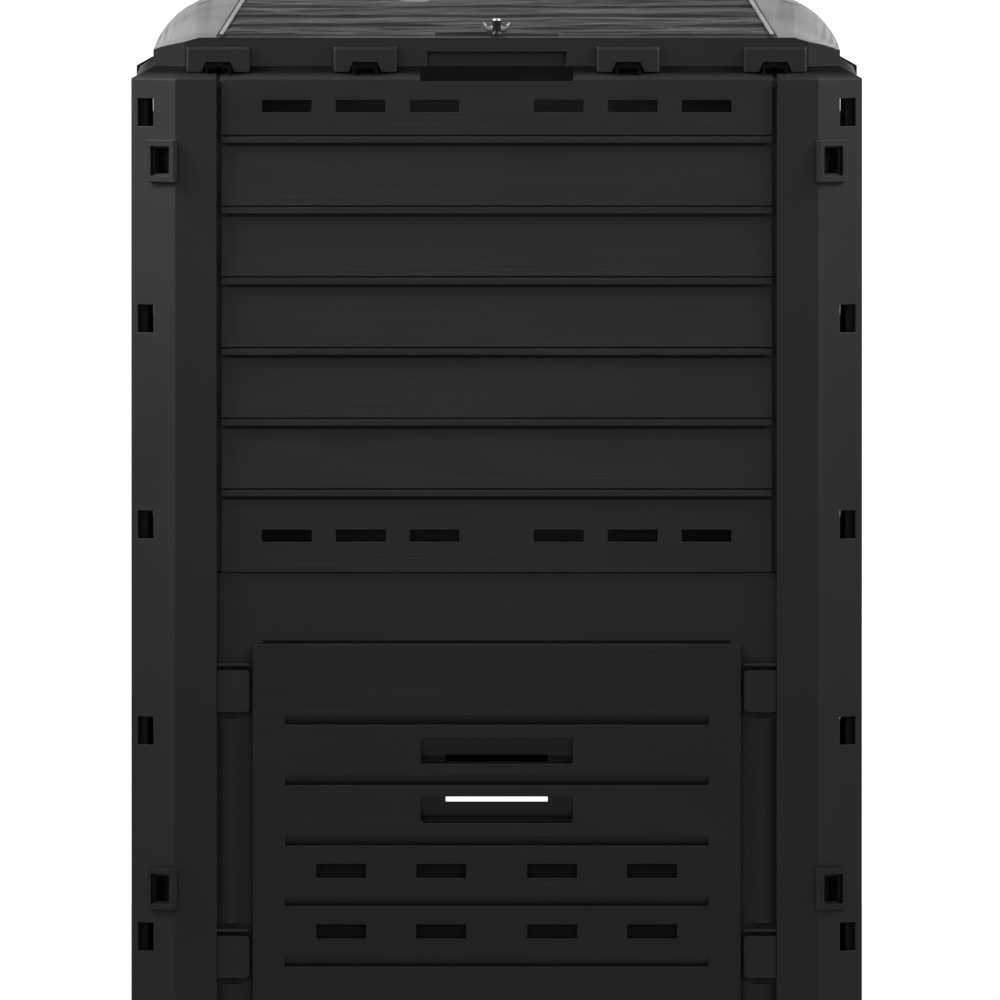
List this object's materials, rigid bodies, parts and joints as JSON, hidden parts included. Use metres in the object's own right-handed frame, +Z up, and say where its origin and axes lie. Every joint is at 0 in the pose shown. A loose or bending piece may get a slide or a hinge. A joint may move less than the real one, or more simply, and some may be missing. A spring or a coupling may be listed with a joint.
{
  "type": "compost bin with lid",
  "caption": "Square black plastic garden composter with lapped board-pattern walls, vented panels, a lift-up front door and a low pitched lid with hinged, screwed-down flaps.",
  "frame": {"origin": "on the ground under the middle of the bin", "axes": "+Z up, -Y out of the side with the door, +X to the right of someone facing the door"},
  "size_m": [0.718, 0.7302, 1.1537],
  "materials": {
    "body_plastic": "charcoal recycled plastic with a fine moulded wood grain, low sheen",
    "door_plastic": "charcoal recycled plastic with a fine moulded wood grain, low sheen",
    "lid_plastic": "charcoal recycled plastic, smooth shoulders and grained boards, satin",
    "screw_metal": "zinc-plated wing screw",
    "pin_steel": "plain steel rod"
  },
  "bodies": {
    "bin": {"post_front_left": "body_plastic", "post_front_right": "body_plastic", "post_rear_left": "body_plastic", "post_rear_right": "body_plastic", "corner_lock_front_left_upper": "body_plastic", "corner_lock_front_left_lower": "body_plastic", "corner_lock_front_right_upper": "body_plastic", "corner_lock_front_right_lower": "body_plastic", "corner_lock_rear_left_upper": "body_plastic", "corner_lock_rear_left_lower": "body_plastic", "corner_lock_rear_right_upper": "body_plastic", "corner_lock_rear_right_lower": "body_plastic", "wall_upper_front": "body_plastic", "wall_upper_right": "body_plastic", "wall_upper_rear": "body_plastic", "wall_upper_left": "body_plastic", "wall_lower_right": "body_plastic", "wall_lower_rear": "body_plastic", "wall_lower_left": "body_plastic", "door_frame": "body_plastic", "lid_frame": "lid_plastic", "front_hinge_pin": "pin_steel", "rear_hinge_pin": "pin_steel", "lid_clip_front_1": "body_plastic", "lid_clip_front_2": "body_plastic", "lid_clip_front_3": "body_plastic", "lid_clip_front_4": "body_plastic", "lid_clip_rear_1": "body_plastic", "lid_clip_rear_2": "body_plastic", "lid_clip_rear_3": "body_plastic", "lid_clip_rear_4": "body_plastic"},
    "front_door": {"front_door": "door_plastic"},
    "front_flap": {"front_flap": "lid_plastic"},
    "rear_flap": {"rear_flap": "lid_plastic"},
    "front_wing_screw": {"front_wing_screw": "screw_metal"},
    "rear_wing_screw": {"rear_wing_screw": "screw_metal"}
  },
  "joints": [
    {"name": "front_flap_hinge", "type": "hinge", "parent": "bin", "child": "front_flap", "pos_m": [0, -0.0395, 1.1449], "axis": [-1, 0, 0], "range_deg": [0, 95]},
    {"name": "rear_flap_hinge", "type": "hinge", "parent": "bin", "child": "rear_flap", "pos_m": [0, 0.0395, 1.1449], "axis": [1, 0, 0], "range_deg": [0, 95]},
    {"name": "front_screw_turn", "type": "hinge", "parent": "front_flap", "child": "front_wing_screw", "pos_m": [0, -0.3194, 1.11896], "axis": [0, -0.1081, 0.9941], "continuous": true},
    {"name": "rear_screw_turn", "type": "hinge", "parent": "rear_flap", "child": "rear_wing_screw", "pos_m": [0, 0.3194, 1.11896], "axis": [0, 0.1081, 0.9941], "continuous": true},
    {"name": "door_lift", "type": "slide", "parent": "bin", "child": "front_door", "axis": [0, 0, 1], "range_m": [0, 0.066]}
  ]
}
